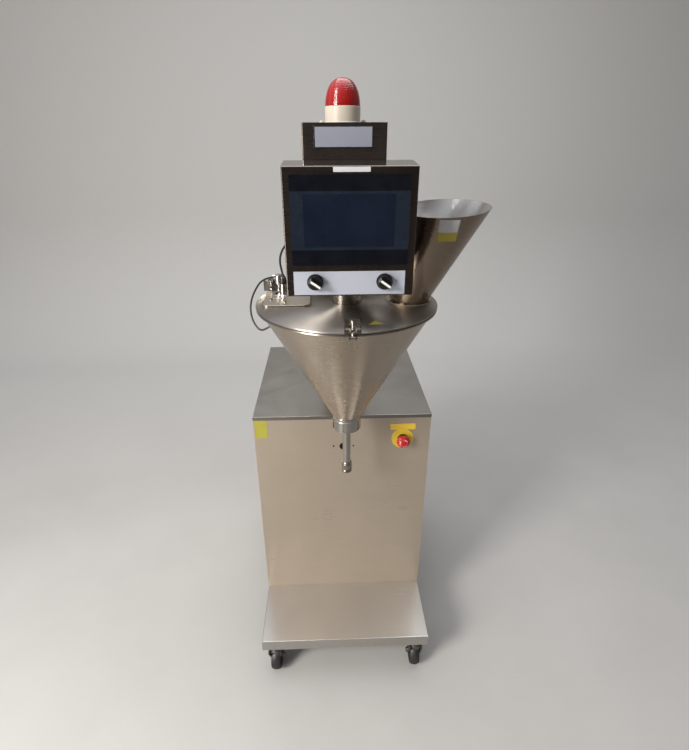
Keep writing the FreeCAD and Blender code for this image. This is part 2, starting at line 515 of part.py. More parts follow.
    # feed funnel: oblique cone with a beaded rim
    f = funnel_solid(0, 0, 0).cut(funnel_solid(-FUN_T, 0, 0))
    foot = ring(FUN_R0 + 7, FUN_R0 - FUN_T, FUN_X0, FUN_Y0, LID_Z, 2)
    inner = funnel_solid(-FUN_T, 0, 0)
    f = f.fuse(foot.cut(inner).cut(funnel_solid(0, 0, 0))).removeSplitter()
    parts["feed_funnel"] = f


# ----------------------------------------------------- sensors and fittings
def sensors():
    x, y = SENS_X, SENS_Y
    s = fuse([revolve([(0, LID_Z), (20.5, LID_Z), (20.5, LID_Z + 2.5), (18, LID_Z + 4.5), (8.5, LID_Z + 5.5), (0, LID_Z + 5.5)], x, y),
              cyl(7.4, x, y, LID_Z + 5.5, 21), cyl(7.4, x, y, LID_Z - 30, 30)])
    # its mounting plate with rounded corners and screws, cut to the lid's round
    pl = box(PLATE[0], PLATE[1], PLATE[2], PLATE[3], LID_Z, LID_Z + PLATE_T)
    pl = fillet(pl, 14.0, lambda e: abs(e.Vertexes[0].Z - e.Vertexes[-1].Z) > 1)
    pl = fillet(pl, 1.6, lambda e: all(abs(v.Z - LID_Z - PLATE_T) < 1e-6 for v in e.Vertexes))
    pl = pl.common(cyl(187.0, HX, HY, LID_Z - 1, 20)).cut(cyl(20.8, x, y, LID_Z - 1, 20))
    pl = fuse([pl] + [cyl(3.3, sx, sy, LID_Z + 1, PLATE_T + 1.2) for sx, sy in ((-125, -115), (-90, -45), (-156, -96))])
    parts["level_sensor"] = group([s, pl])
    z = LID_Z + 26.5
    p = revolve([(0, z), (7.9, z), (7.9, z + 8.5), (7.2, z + 10), (7.2, z + 13), (5.8, z + 17), (3.6, z + 19.5), (3.0, z + 22), (0, z + 22)], x, y)
    parts["sensor_plug"] = p
    # interlock switch: post on the lid, round body, gland to the left
    bx, by = GLAND_C[0], GLAND_C[1]
    post = fuse([cyl(9, bx, by, LID_Z, 2), cyl(4, bx, by, LID_Z + 2, 15)])
    d = V(*GLAND_D)
    c = V(*GLAND_C)
    body = fuse([revolve([(0, LID_Z + 17), (8.5, LID_Z + 17), (8.5, LID_Z + 35.5), (6.5, LID_Z + 38.5), (0, LID_Z + 38.5)], bx, by),
                 Part.makeCylinder(4.6, 15.0, c - d * 4, d), Part.makeCylinder(5.6, 4.0, c + d * 9, d)])
    parts["interlock_switch"] = group([post, body])


# ---------------------------------------------------- control box and beacon
def control():
    b = box(BOX_X0, BOX_X1, BOX_Y0, BOX_Y1, BOX_Z0, BOX_Z1)
    # the roof rises towards the back
    b = b.fuse(prism([(BOX_X0, BOX_Y0, BOX_Z1), (BOX_X0, BOX_Y1, BOX_Z1 + ROOF), (BOX_X0, BOX_Y1, BOX_Z1)], V(BOX_X1 - BOX_X0, 0, 0))).removeSplitter()
    b = fillet(b, 1.8, lambda e: abs(e.Vertexes[0].Y - BOX_Y0) < 1e-6 and abs(e.Vertexes[-1].Y - BOX_Y0) < 1e-6)
    b = b.cut(prism([(BOX_X0 + 1.5, BOX_Y0 + 1.5, BOX_Z0 + 1.5), (BOX_X0 + 1.5, BOX_Y0 + 1.5, BOX_Z1 - 1.5),
                     (BOX_X0 + 1.5, BOX_Y1 + 1, BOX_Z1 - 1.5 + ROOF), (BOX_X0 + 1.5, BOX_Y1 + 1, BOX_Z0 + 1.5)],
                    V(BOX_X1 - BOX_X0 - 3.0, 0, 0)))
    b = b.cut(box(HMI_X - 96, HMI_X + 96, BOX_Y0 - 1, BOX_Y0 + 3, HMI_Z - 69, HMI_Z + 69))
    for kx in KNOB_X:
        b = b.cut(cyl(11.1, kx, BOX_Y0 - 1, KNOB_Z, 4, Y))
    parts["control_box"] = b
    rc = box(BOX_X0 + 1.6, BOX_X1 - 1.6, BOX_Y1 - 2, BOX_Y1, BOX_Z0 + 1.6, BOX_Z1 - 1.9 + ROOF)
    rc = rc.fuse(box(HOUS_X0 + 12, HOUS_X1 - 12, BOX_Y1, HOUS_Y0, BOX_Z0 + 20, BOX_Z1 - 20)).removeSplitter()
    parts["box_rear_cover"] = rc.cut(cyl(14, HX, BOX_Y1 - 5, 1300, 10, Y))
    hm = fuse([box(HMI_X - HMI_W / 2, HMI_X + HMI_W / 2, BOX_Y0 - 6, BOX_Y0, HMI_Z - HMI_H / 2, HMI_Z + HMI_H / 2),
               box(HMI_X - 95.5, HMI_X + 95.5, BOX_Y0, BOX_Y0 + 38, HMI_Z - 68.5, HMI_Z + 68.5)])
    hm = fillet(hm, 2.0, lambda e: len(e.Vertexes) == 2 and abs(abs(e.Vertexes[0].X - HMI_X) - HMI_W / 2) < 1e-6
                and abs(e.Vertexes[0].Z - e.Vertexes[1].Z) < 1e-6 and abs(e.Vertexes[0].X - e.Vertexes[1].X) < 1e-6)
    sx, sz = HMI_X - 1.0, HMI_Z + 0.3
    hm = hm.cut(box(sx - SCR_W / 2, sx + SCR_W / 2, BOX_Y0 - 7, BOX_Y0 - 4.5, sz - SCR_H / 2, sz + SCR_H / 2))
    parts["hmi_bezel"] = hm
    parts["hmi_screen"] = box(sx - SCR_W / 2, sx + SCR_W / 2, BOX_Y0 - 5.8, BOX_Y0 - 4.5, sz - SCR_H / 2, sz + SCR_H / 2)
    sp = box(-93.0, 104.5, BOX_Y0 - 1, BOX_Y0, 1174.0, 1216.0)
    for kx in KNOB_X:
        sp = sp.cut(cyl(11.1, kx, BOX_Y0 - 2, KNOB_Z, 4, Y))
    parts["switch_plate"] = sp
    for nm, kx in zip(("left", "right"), KNOB_X):
        k = fuse([revolve([(0, 5.4), (12.6, 5.4), (12.6, 11.0), (11.8, 12.4), (0, 12.4)], 0, 0), cyl(5.0, 0, 0, -14, 22)])
        grip = box(-11.6, 11.6, -4.2, 4.2, 12.0, 21.0)
        grip = fillet(grip, 1.8, lambda e: all(abs(v.Z - 21.0) < 1e-6 for v in e.Vertexes))
        k = fuse([k, grip.common(cyl(12.0, 0, 0, 0, 30))])
        k.rotate(V(0, 0, 0), Z, -35.0)
        parts["knob_" + nm] = along_y(k, kx, BOX_Y0, KNOB_Z)

    x, y, r = BEACON_X, BEACON_Y, BEACON_R
    ears = []
    base = revolve([(0, HOUS_Z1), (r + 0.6, HOUS_Z1), (r + 0.6, HOUS_Z1 + 2), (r - 0.3, HOUS_Z1 + 3), (r, BEACON_Z1 - 1), (r - 1, BEACON_Z1),
                    (26, BEACON_Z1), (26, BEACON_Z1 - 4), (0, BEACON_Z1 - 4)], x, y)
    for s in (-1, 1):
        e = fuse([box(min(s * 30, s * 38) + x, max(s * 30, s * 38) + x, y - 5, y + 5, HOUS_Z1, HOUS_Z1 + 3), cyl(5, x + s * 38, y, HOUS_Z1, 3)])
        ears.append(e.cut(cyl(2.2, x + s * 38, y, HOUS_Z1 - 1, 6)))
    base = fuse([base] + ears)
    screws = [fuse([cyl(3.6, x + s * 38, y, HOUS_Z1 + 3, 2.4), cyl(2.1, x + s * 38, y, HOUS_Z1 - 0.2 + 0.2, 3.2)]) for s in (-1, 1)]
    parts["beacon_base"] = group([base] + screws)
    prof_o, prof_i = [], []
    n = 14
    h = BEACON_Z2 - BEACON_Z1
    for i in range(n + 1):
        u = i / n
        z = BEACON_Z1 + h * math.sin(u * math.pi / 2)
        rr = (r - 0.6) * math.cos(u * math.pi / 2) ** 0.82
        prof_o.append((rr if i < n else 0.0, z))
    for rr, z in prof_o:
        prof_i.append((max(rr - 2.2, 0.0), BEACON_Z1 + (z - BEACON_Z1) * (h - 2.2) / h))
    prof_i = [p for p in prof_i if p[0] > 0.3]
    top_i = (0.0, BEACON_Z1 + h - 2.2)
    prof = prof_o + [top_i] + list(reversed(prof_i))
    parts["beacon_dome"] = revolve(prof, x, y)
    parts["beacon_lamp"] = fuse([cyl(14, x, y, BEACON_Z1 - 4, 6), revolve([(0, BEACON_Z1 + 2), (7, BEACON_Z1 + 2), (8.5, BEACON_Z1 + 14), (7, BEACON_Z1 + 22),
                                                                      (3, BEACON_Z1 + 26), (0, BEACON_Z1 + 26.5)], x, y)])


# -------------------------------------------------------------------- cables
CABLE_D = 4.5
# level sensor cable: plug on the sensor to the gland in the housing side
ROUTE_SENSOR = [(-132.5, -50, 1157.5), (-134.5, -50.5, 1168), (-136.8, -53, 1184), (-133.6, -60, 1203),
                (-124, -70, 1221), (-109, -83, 1237), (-95.5, -94, 1245), (-84.0, -100, 1246.5)]
# interlock cable: switch gland, loop outside the lid, boss in the hopper wall
ROUTE_LOOP = [(-186.5, -21, 1133.5), (-198.0, -31, 1117.5), (-206.5, -42, 1100), (-209.5, -54, 1081.5),
              (-206.5, -65.5, 1063), (-198.0, -76, 1047), (-184.5, -86, 1037.5)]


def tube_along(pts, dia, name):
    """Straight runs joined by tangent arcs, swept with a round section."""
    P = [V(*p) for p in pts]
    edges = []
    start = P[0]
    radii = []
    for i in range(1, len(P) - 1):
        a, b, c = P[i - 1], P[i], P[i + 1]
        u, w = (b - a), (c - b)
        la, lb = u.Length, w.Length
        u, w = u * (1 / la), w * (1 / lb)
        turn = math.acos(max(-1.0, min(1.0, u.dot(w))))
        r = 0.45 * min(la, lb) / math.tan(turn / 2)
        t = 0.45 * min(la, lb)
        p1, p2 = b - u * t, b + w * t
        bis = (w - u)
        bis.normalize()
        centre = b + bis * (r / math.cos(turn / 2))
        mid = centre + (b - centre).normalize() * r
        edges.append(Part.LineSegment(start, p1).toShape())
        edges.append(Part.Arc(p1, mid, p2).toShape())
        start = p2
        radii.append(round(r, 1))
    edges.append(Part.LineSegment(start, P[-1]).toShape())
    wire = Part.Wire(edges)
    d = (P[1] - P[0]).normalize()
    prof = Part.Wire([Part.Circle(P[0], d, dia / 2).toShape()])
    s = wire.makePipeShell([prof], True, True)
    vol = math.pi * dia * dia / 4 * wire.Length
    print(name, "length %.1f" % wire.Length, "radii", radii, "volume ratio %.4f" % (s.Volume / vol), s.isValid())
    runs = [round((P[i + 1] - P[i]).Length, 1) for i in range(len(P) - 1)]
    print(name, "runs", runs)
    return s


def cables():
    g = fuse([cyl(9.5, HOUS_X0 - 4, -100, 1246, 4, X), cyl(7.5, HOUS_X0 - 9, -100, 1246, 5, X), cyl(5.8, HOUS_X0, -100, 1246, 10, X)])
    sensor = ROUTE_SENSOR[:-1] + [(HOUS_X0 - 5, -100, 1246)]
    parts["cable_sensor"] = tube_along(sensor, CABLE_D, "cable_sensor")
    g = g.cut(parts["cable_sensor"])
    parts["interlock_switch"] = group(list(parts["interlock_switch"].Solids) + [g])
    d = V(*GLAND_D)
    d.normalize()
    p0 = V(*GLAND_C) + d * GLAND_L
    k = (CONE_R1 - CONE_R0) / (CONE_Z1 - CONE_Z0)
    n = V(-math.cos(math.atan(k)), 0, -math.sin(math.atan(k)))
    q = V(HX - (CONE_R0 + k * (BOSS_Z - CONE_Z0)), HY + 6, BOSS_Z)
    pts = [tuple(p0), tuple(p0 + d * 11.0)] + ROUTE_LOOP + [tuple(q + n * 14.0), tuple(q + n * 3.0)]
    print("loop route", [[round(c, 2) for c in p] for p in pts])
    parts["cable_loop"] = tube_along(pts, 4.2, "cable_loop")


def main():
    os.makedirs("parts", exist_ok=True)
    base()
    casters()
    cabinet()
    estop()
    column()
    drive()
    hopper()
    sensors()
    control()
    cables()
    lo, hi = [1e9] * 3, [-1e9] * 3
    for name, s in parts.items():
        s = s.copy()
        s.translate(V(SHIFT_X, SHIFT_Y, 0))
        parts[name] = s
        if not name.startswith("cable_"):
            bb = s.BoundBox
            lo = [min(lo[0], bb.XMin), min(lo[1], bb.YMin), min(lo[2], bb.ZMin)]
            hi = [max(hi[0], bb.XMax), max(hi[1], bb.YMax), max(hi[2], bb.ZMax)]
        s.exportStep(os.path.join("parts", name + ".step"))
    print("nodes", len(parts), "box", [round(v, 2) for v in lo], [round(v, 2) for v in hi])
    print("shift correction", round(-(lo[0] + hi[0]) / 2, 3), round(-(lo[1] + hi[1]) / 2, 3))
    for name, s in sorted(parts.items()):
        if not s.isValid() or any(so.Volume <= 0 for so in s.Solids) or not s.Solids:
            print("BAD", name, s.isValid(), [round(so.Volume, 1) for so in s.Solids])


main()
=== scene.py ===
import bpy, bmesh, math, random
from mathutils import Vector, Matrix


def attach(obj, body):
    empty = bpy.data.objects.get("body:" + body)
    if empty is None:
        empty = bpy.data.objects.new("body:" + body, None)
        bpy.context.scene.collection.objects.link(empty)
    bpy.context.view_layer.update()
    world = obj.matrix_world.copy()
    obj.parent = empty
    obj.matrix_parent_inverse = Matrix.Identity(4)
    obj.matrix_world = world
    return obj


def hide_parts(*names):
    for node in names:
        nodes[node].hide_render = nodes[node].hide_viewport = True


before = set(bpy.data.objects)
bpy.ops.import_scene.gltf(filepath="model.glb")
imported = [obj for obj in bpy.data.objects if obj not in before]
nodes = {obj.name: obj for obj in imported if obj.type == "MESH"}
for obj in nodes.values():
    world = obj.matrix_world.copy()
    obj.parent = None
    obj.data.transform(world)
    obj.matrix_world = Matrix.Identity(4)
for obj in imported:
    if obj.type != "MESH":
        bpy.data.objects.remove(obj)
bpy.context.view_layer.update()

scene = bpy.context.scene
rnd = random.Random(7)

# machine frame (mm; X right, Y away from the operator, Z up) to the row frame (m)
SX, SY = -28.137, -105.791


def M(x, y, z):
    return Vector(((x + SX) / 1000.0, (y + SY) / 1000.0, z / 1000.0))


HX, HY = 7.0, -100.0
AXIS = M(HX, HY, 0)


# ------------------------------------------------------------------ materials
class G:
    """Small builder for a principled material."""

    def __init__(s, name):
        s.m = bpy.data.materials.new(name)
        s.m.use_nodes = True
        s.t = s.m.node_tree
        s.t.nodes.clear()
        s.out = s.n("ShaderNodeOutputMaterial")
        s.b = s.n("ShaderNodeBsdfPrincipled")
        s.link(s.b.outputs[0], s.out.inputs[0])
        s.p = s.n("ShaderNodeTexCoord").outputs["Object"]

    def n(s, kind, **kw):
        node = s.t.nodes.new(kind)
        for k, v in kw.items():
            setattr(node, k, v)
        return node

    def link(s, a, b):
        s.t.links.new(a, b)

    def put(s, sock, v):
        if hasattr(v, "is_output"):
            s.link(v, sock)
        else:
            sock.default_value = v

    def math(s, op, a, b=0.0, c=0.0, clamp=False):
        node = s.n("ShaderNodeMath", operation=op, use_clamp=clamp)
        s.put(node.inputs[0], a)
        s.put(node.inputs[1], b)
        s.put(node.inputs[2], c)
        return node.outputs[0]

    def vec(s, op, a, b=(0, 0, 0)):
        node = s.n("ShaderNodeVectorMath", operation=op)
        s.put(node.inputs[0], a)
        if op != "LENGTH" and op != "NORMALIZE":
            s.put(node.inputs[1], b)
        return node.outputs["Value"] if op in ("LENGTH", "DOT_PRODUCT") else node.outputs["Vector"]

    def sep(s, v):
        node = s.n("ShaderNodeSeparateXYZ")
        s.link(v, node.inputs[0])
        return node.outputs

    def comb(s, x, y, z):
        node = s.n("ShaderNodeCombineXYZ")
        for i, v in enumerate((x, y, z)):
            s.put(node.inputs[i], v)
        return node.outputs[0]

    def noise(s, v, scale=1.0, detail=3.0, rough=0.55, dist=0.0):
        node = s.n("ShaderNodeTexNoise")
        s.link(v, node.inputs["Vector"])
        node.inputs["Scale"].default_value = scale
        node.inputs["Detail"].default_value = detail
        node.inputs["Roughness"].default_value = rough
        node.inputs["Distortion"].default_value = dist
        return node.outputs["Fac"]

    def rng(s, v, a, b, c, d, smooth=False):
        node = s.n("ShaderNodeMapRange", clamp=True)
        if smooth:
            node.interpolation_type = "SMOOTHSTEP"
        s.link(v, node.inputs["Value"])
        for k, x in zip(("From Min", "From Max", "To Min", "To Max"), (a, b, c, d)):
            node.inputs[k].default_value = x
        return node.outputs["Result"]

    def mix(s, f, a, b, mode="MIX"):
        node = s.n("ShaderNodeMix", data_type="RGBA", blend_type=mode)
        s.put(node.inputs[0], f)
        for i, v in ((6, a), (7, b)):
            s.put(node.inputs[i], (*v, 1.0) if isinstance(v, tuple) and len(v) == 3 else v)
        return node.outputs[2]

    def bump(s, h, strength, distance):
        node = s.n("ShaderNodeBump")
        node.inputs["Strength"].default_value = strength
        node.inputs["Distance"].default_value = distance
        s.link(h, node.inputs["Height"])
        s.link(node.outputs[0], s.b.inputs["Normal"])
        return node.outputs[0]

    def set(s, **kw):
        for k, v in kw.items():
            s.b.inputs[k.replace("_", " ")].default_value = v
        return s


def steel(name, col, rough, grain="x", aniso=0.5, axis=None, brush=0.05, smudge=0.07, vary=0.05, bump=0.03, fine=1.0,
          shade=None, stain=0.0, cloudy=0.14, metal=1.0):
    """Brushed stainless: fine lines along the grain, a soft cloud of wipe marks, highlights drawn across the grain."""
    g = G(name)
    g.set(Metallic=metal, Anisotropic=aniso)
    if axis is None:
        f = {"x": (11, 820, 820), "y": (820, 11, 820), "z": (820, 820, 11)}[grain]
        lines = g.vec("MULTIPLY", g.p, tuple(c * fine if c > 10 else c for c in f))
        along = {"x": (1, 0.03, 0.02), "y": (0.02, 1, 0.03), "z": (0.03, 0.02, 1)}[grain]
    else:
        d = g.vec("SUBTRACT", g.p, (axis[0], axis[1], 0.0))
        x, y, z = g.sep(d)
        flat = g.comb(x, y, 0.0)
        r = g.vec("LENGTH", flat)
        u = g.vec("NORMALIZE", flat)
        ux, uy, _ = g.sep(u)
        lines = g.comb(g.math("MULTIPLY", g.math("ADD", r, z), 820.0 * fine), g.math("MULTIPLY", ux, 2.6),
                       g.math("ADD", g.math("MULTIPLY", uy, 2.6), g.math("MULTIPLY", z, 140.0 * fine)))
        along = g.vec("CROSS_PRODUCT", (0, 0, 1), u)
    nrm = g.n("ShaderNodeNewGeometry").outputs["Normal"]
    g.link(g.vec("NORMALIZE", g.vec("CROSS_PRODUCT", nrm, along)), g.b.inputs["Tangent"])
    hair = g.noise(lines, 1.0, 4.0, 0.65)
    streak = g.noise(g.vec("MULTIPLY", lines, (0.09, 0.30, 0.09)), 1.0, 3.0, 0.6)
    cloud = g.noise(g.p, 7.0, 4.0, 0.6, 0.4)
    wipe = g.noise(g.vec("MULTIPLY", g.p, (9.0, 9.0, 3.0)), 1.0, 3.0, 0.6, 1.2)
    r0 = g.math("ADD", g.rng(hair, 0.3, 0.7, rough - brush / 2, rough + brush / 2), g.rng(wipe, 0.35, 0.7, -smudge / 2, smudge / 2))
    g.link(g.math("MAXIMUM", r0, 0.08), g.b.inputs["Roughness"])
    dark = tuple(c * (1 - vary) for c in col)
    lite = tuple(min(1.0, c * (1 + vary * 0.5)) for c in col)
    c0 = g.mix(g.rng(hair, 0.3, 0.7, 0.0, 1.0), dark, lite)
    c0 = g.mix(g.rng(streak, 0.35, 0.7, 0.0, 0.5), c0, tuple(c * (1 - 0.9 * vary) for c in col))
    c1 = g.mix(g.rng(cloud, 0.35, 0.72, 0.0, 0.6), c0, tuple(c * (1 - cloudy) for c in col))
    if stain:
        spots = g.noise(g.p, 90.0, 2.0, 0.5)
        c1 = g.mix(g.rng(spots, 0.66, 0.74, 0.0, stain), c1, tuple(c * 0.6 for c in col))
    if shade:
        # a slow change of tone between two heights: painted shade by height
        z0, z1, tint = shade
        _, _, zz = g.sep(g.p)
        c1 = g.mix(g.rng(zz, z0, z1, 0.0, 1.0, True), c1, tint)
    g.link(c1, g.b.inputs["Base Color"])
    g.bump(hair, bump, 0.0002)
    return g.m


def plastic(name, col, rough=0.4, coat=0.0, vary=0.12, grain=1400.0, bump=0.06, dust=0.0, dustcol=(0.35, 0.33, 0.30), sss=0.0):
    """Moulded plastic or rubber: fine texture, slow change of tone, optional dust."""
    g = G(name)
    g.set(Coat_Weight=coat, Coat_Roughness=0.08)
    f = g.noise(g.p, grain, 2.0, 0.5)
    slow = g.noise(g.p, 26.0, 4.0, 0.6, 0.3)
    c = g.mix(g.rng(slow, 0.3, 0.7, 0.0, 1.0), tuple(x * (1 - vary) for x in col), tuple(min(1, x * (1 + vary)) for x in col))
    if dust:
        d = g.noise(g.p, 120.0, 5.0, 0.7, 0.5)
        c = g.mix(g.rng(d, 0.45, 0.75, 0.0, dust), c, dustcol)
    g.link(c, g.b.inputs["Base Color"])
    g.link(g.math("ADD", g.rng(slow, 0.3, 0.7, rough - 0.05, rough + 0.07), g.rng(f, 0.3, 0.7, -0.03, 0.03)), g.b.inputs["Roughness"])
    g.bump(f, bump, 0.0002)
    return g.m


def enamel(name, col, rough=0.35):
    g = G(name)
    orange = g.noise(g.p, 420.0, 2.0, 0.5)
    slow = g.noise(g.p, 14.0, 3.0, 0.6)
    g.link(g.mix(g.rng(slow, 0.3, 0.7, 0.0, 1.0), tuple(x * 0.85 for x in col), tuple(min(1, x * 1.1) for x in col)), g.b.inputs["Base Color"])
    g.link(g.rng(slow, 0.3, 0.7, rough - 0.05, rough + 0.08), g.b.inputs["Roughness"])
    g.bump(orange, 0.12, 0.0004)
    return g.m


WARM = (0.66, 0.585, 0.50)
MID = (0.60, 0.565, 0.525)
COOL = (0.64, 0.63, 0.61)
mat_front = steel("steel_front", (0.66, 0.56, 0.45), 0.33, "x", 0.6, smudge=0.08, cloudy=0.12, metal=0.72)
mat_side = steel("steel_side", (0.58, 0.50, 0.41), 0.36, "y", 0.5, metal=0.7)
mat_cover = steel("steel_cover", (0.40, 0.375, 0.345), 0.34, "x", 0.55)
mat_tray = steel("steel_tray", (0.62, 0.59, 0.55), 0.24, "x", 0.6, brush=0.03, smudge=0.05, metal=0.8)
# painted shade: the control box sides and rear cover get a dark brown copy of the steel; the box top below keeps a
# lighter steel
mat_box_painted_shade = steel("steel_box_painted_shade", (0.22, 0.185, 0.17), 0.27, "x", 0.4)
mat_box_top = steel("steel_box_top", (0.50, 0.46, 0.43), 0.14, "x", 0.2, brush=0.03, smudge=0.04)
# painted shade: the drive housing gets the same dark brown copy of the steel
mat_head_painted_shade = steel("steel_head_painted_shade", (0.25, 0.212, 0.195), 0.28, "x", 0.4)
mat_column = steel("steel_column", (0.52, 0.48, 0.43), 0.33, "z", 0.5)
mat_cone = steel("steel_cone", (0.66, 0.565, 0.46), 0.29, aniso=0.76, axis=AXIS, cloudy=0.16)
mat_lid = steel("steel_lid", (0.56, 0.52, 0.48), 0.48, aniso=0.92, axis=AXIS, cloudy=0.14)
# painted shade on the funnel's outside, a dark brown copy of its steel; painted reflection inside, a pale copy of the
# same steel
mat_funnel_painted_shade = steel("steel_funnel_painted_shade", (0.40, 0.32, 0.25), 0.26, aniso=0.7, axis=M(176, -97, 0), cloudy=0.16)
mat_funnel_in_painted_light = steel("steel_funnel_inside_painted_light", (0.80, 0.79, 0.78), 0.30, aniso=0.7, axis=M(176, -97, 0), cloudy=0.10)
mat_bright = steel("steel_bright", (0.62, 0.585, 0.54), 0.22, aniso=0.3, axis=AXIS, vary=0.04)
mat_turned = steel("steel_turned", (0.46, 0.41, 0.36), 0.28, aniso=0.4, axis=AXIS, vary=0.10, fine=1.4, bump=0.15)
mat_zinc = steel("zinc_plate", (0.62, 0.62, 0.60), 0.34, "z", 0.2, vary=0.10, smudge=0.14, stain=0.30)
# painted shade: a dark copy of the zinc for the caster forks, which sit in the shade under the base
mat_fork_painted_shade = steel("zinc_fork_painted_shade", (0.30, 0.29, 0.275), 0.40, "z", 0.2, vary=0.12, smudge=0.12, stain=0.20)
mat_plate_steel = steel("plate_steel", (0.44, 0.385, 0.32), 0.36, "x", 0.5, smudge=0.05)
mat_chrome = steel("chrome", (0.72, 0.70, 0.68), 0.13, "z", 0.0, brush=0.03, smudge=0.06, vary=0.04, bump=0.02)
mat_rubber = plastic("rubber_wheel", (0.018, 0.018, 0.019), 0.42, vary=0.3, grain=900, bump=0.2, dust=0.10)
mat_gasket = plastic("rubber_gasket", (0.03, 0.03, 0.03), 0.6, grain=700, bump=0.15)
mat_cable = plastic("cable_jacket", (0.012, 0.012, 0.013), 0.38, coat=0.15, vary=0.25, grain=1600)
mat_black = plastic("plastic_black", (0.014, 0.014, 0.015), 0.30, coat=0.2, vary=0.2, grain=1300)
mat_motor = enamel("motor_enamel", (0.035, 0.036, 0.04))
mat_yellow = plastic("plastic_yellow", (0.80, 0.55, 0.05), 0.34, coat=0.25, vary=0.05, grain=1500, bump=0.03)
mat_red = plastic("plastic_red", (0.46, 0.012, 0.012), 0.26, coat=0.5, vary=0.06, grain=1500, bump=0.03)
mat_cream = plastic("plastic_cream", (0.66, 0.60, 0.51), 0.34, coat=0.2, vary=0.04, grain=1200, bump=0.04)
mat_grey = plastic("controls_grey", (0.16, 0.17, 0.18), 0.5, vary=0.15)
mat_white = plastic("label_white", (0.62, 0.62, 0.64), 0.45, vary=0.05, grain=900)
mat_label_y = plastic("label_yellow", (0.36, 0.325, 0.045), 0.42, vary=0.07, grain=900)
mat_label_y2 = plastic("label_amber", (0.52, 0.43, 0.05), 0.42, vary=0.10, grain=900)
mat_plate_lilac = steel("plate_lilac", (0.34, 0.36, 0.44), 0.44, "x", 0.1, brush=0.02, vary=0.02, bump=0.01, metal=0.3)
mat_switch = steel("switch_plate", (0.54, 0.57, 0.65), 0.46, "x", 0.1, brush=0.02, vary=0.02, smudge=0.03, bump=0.01, metal=0.25)
mat_insert = plastic("insert_white", (0.82, 0.82, 0.80), 0.35, vary=0.04)
mat_pink = plastic("print_pale", (0.88, 0.55, 0.55), 0.4, vary=0.05)


def mat_hmi_glass():
    g = G("panel_glass")
    x, y, z = g.sep(g.p)
    zt, zb = 1.3494, 1.2541
    inner = g.math("MULTIPLY", g.rng(z, zb - 0.0006, zb + 0.0006, 0, 1), g.rng(z, zt - 0.0006, zt + 0.0006, 1, 0))
    cloud = g.noise(g.p, 40.0, 4.0, 0.6, 0.3)
    band = g.mix(g.rng(cloud, 0.3, 0.7, 0.0, 1.0), (0.003, 0.004, 0.007), (0.006, 0.007, 0.011))
    side = g.mix(g.rng(cloud, 0.3, 0.7, 0.0, 1.0), (0.010, 0.015, 0.024), (0.014, 0.020, 0.031))
    g.link(g.mix(inner, band, side), g.b.inputs["Base Color"])
    g.link(g.rng(g.noise(g.p, 60.0, 4.0, 0.7, 1.0), 0.35, 0.7, 0.07, 0.20), g.b.inputs["Roughness"])
    g.set(Coat_Weight=0.4, Coat_Roughness=0.05, IOR=1.5)
    return g.m


def mat_screen():
    g = G("display")
    x, y, z = g.sep(g.p)
    px = g.math("SINE", g.math("MULTIPLY", x, 7000.0))
    cloud = g.noise(g.p, 22.0, 3.0, 0.6, 0.3)
    c = g.mix(g.rng(cloud, 0.3, 0.7, 0.0, 1.0), (0.005, 0.008, 0.018), (0.008, 0.012, 0.025))
    c = g.mix(g.rng(px, -1, 1, 0.0, 0.10), c, (0.02, 0.03, 0.05))
    g.link(c, g.b.inputs["Base Color"])
    g.link(g.rng(g.noise(g.p, 70.0, 4.0, 0.7, 1.0), 0.35, 0.7, 0.06, 0.17), g.b.inputs["Roughness"])
    g.set(Coat_Weight=0.3, Coat_Roughness=0.04, IOR=1.5)
    return g.m


def mat_lens():
    g = G("lens_red")
    g.set(Transmission_Weight=0.42, IOR=1.49, Coat_Weight=0.6, Coat_Roughness=0.04)
    x, y, z = g.sep(g.p)
    rib = g.math("SINE", g.math("MULTIPLY", z, 2 * math.pi / 0.0026))
    cloud = g.noise(g.p, 60.0, 3.0, 0.5)
    c = g.mix(g.rng(rib, -1, 1, 0.0, 0.6), (0.48, 0.006, 0.005), (0.66, 0.014, 0.010))
    c = g.mix(g.rng(cloud, 0.3, 0.7, 0.0, 0.3), c, (0.42, 0.005, 0.005))
    g.link(c, g.b.inputs["Base Color"])
    g.link(g.rng(cloud, 0.3, 0.7, 0.12, 0.2), g.b.inputs["Roughness"])
    g.bump(rib, 0.15, 0.0003)
    return g.m


def mat_lamp():
    g = G("lamp_glass")
    g.set(Transmission_Weight=0.3, IOR=1.45)
    cloud = g.noise(g.p, 160.0, 3.0, 0.5)
    g.link(g.mix(g.rng(cloud, 0.3, 0.7, 0.0, 1.0), (0.8, 0.72, 0.6), (0.95, 0.9, 0.8)), g.b.inputs["Base Color"])
    g.link(g.rng(cloud, 0.3, 0.7, 0.2, 0.35), g.b.inputs["Roughness"])
    return g.m


def mat_weld():
    g = G("weld_bead")
    g.set(Metallic=1.0)
    n1 = g.noise(g.p, 420.0, 3.0, 0.6, 0.6)
    n2 = g.noise(g.p, 50.0, 3.0, 0.6)
    g.link(g.mix(g.rng(n2, 0.3, 0.7, 0.0, 1.0), (0.50, 0.42, 0.34), (0.62, 0.57, 0.52)), g.b.inputs["Base Color"])
    g.link(g.rng(n1, 0.3, 0.7, 0.28, 0.5), g.b.inputs["Roughness"])
    g.bump(n1, 0.5, 0.0008)
    return g.m


mat_glass_panel, mat_display, mat_red_lens, mat_lamp_g, mat_bead = mat_hmi_glass(), mat_screen(), mat_lens(), mat_lamp(), mat_weld()

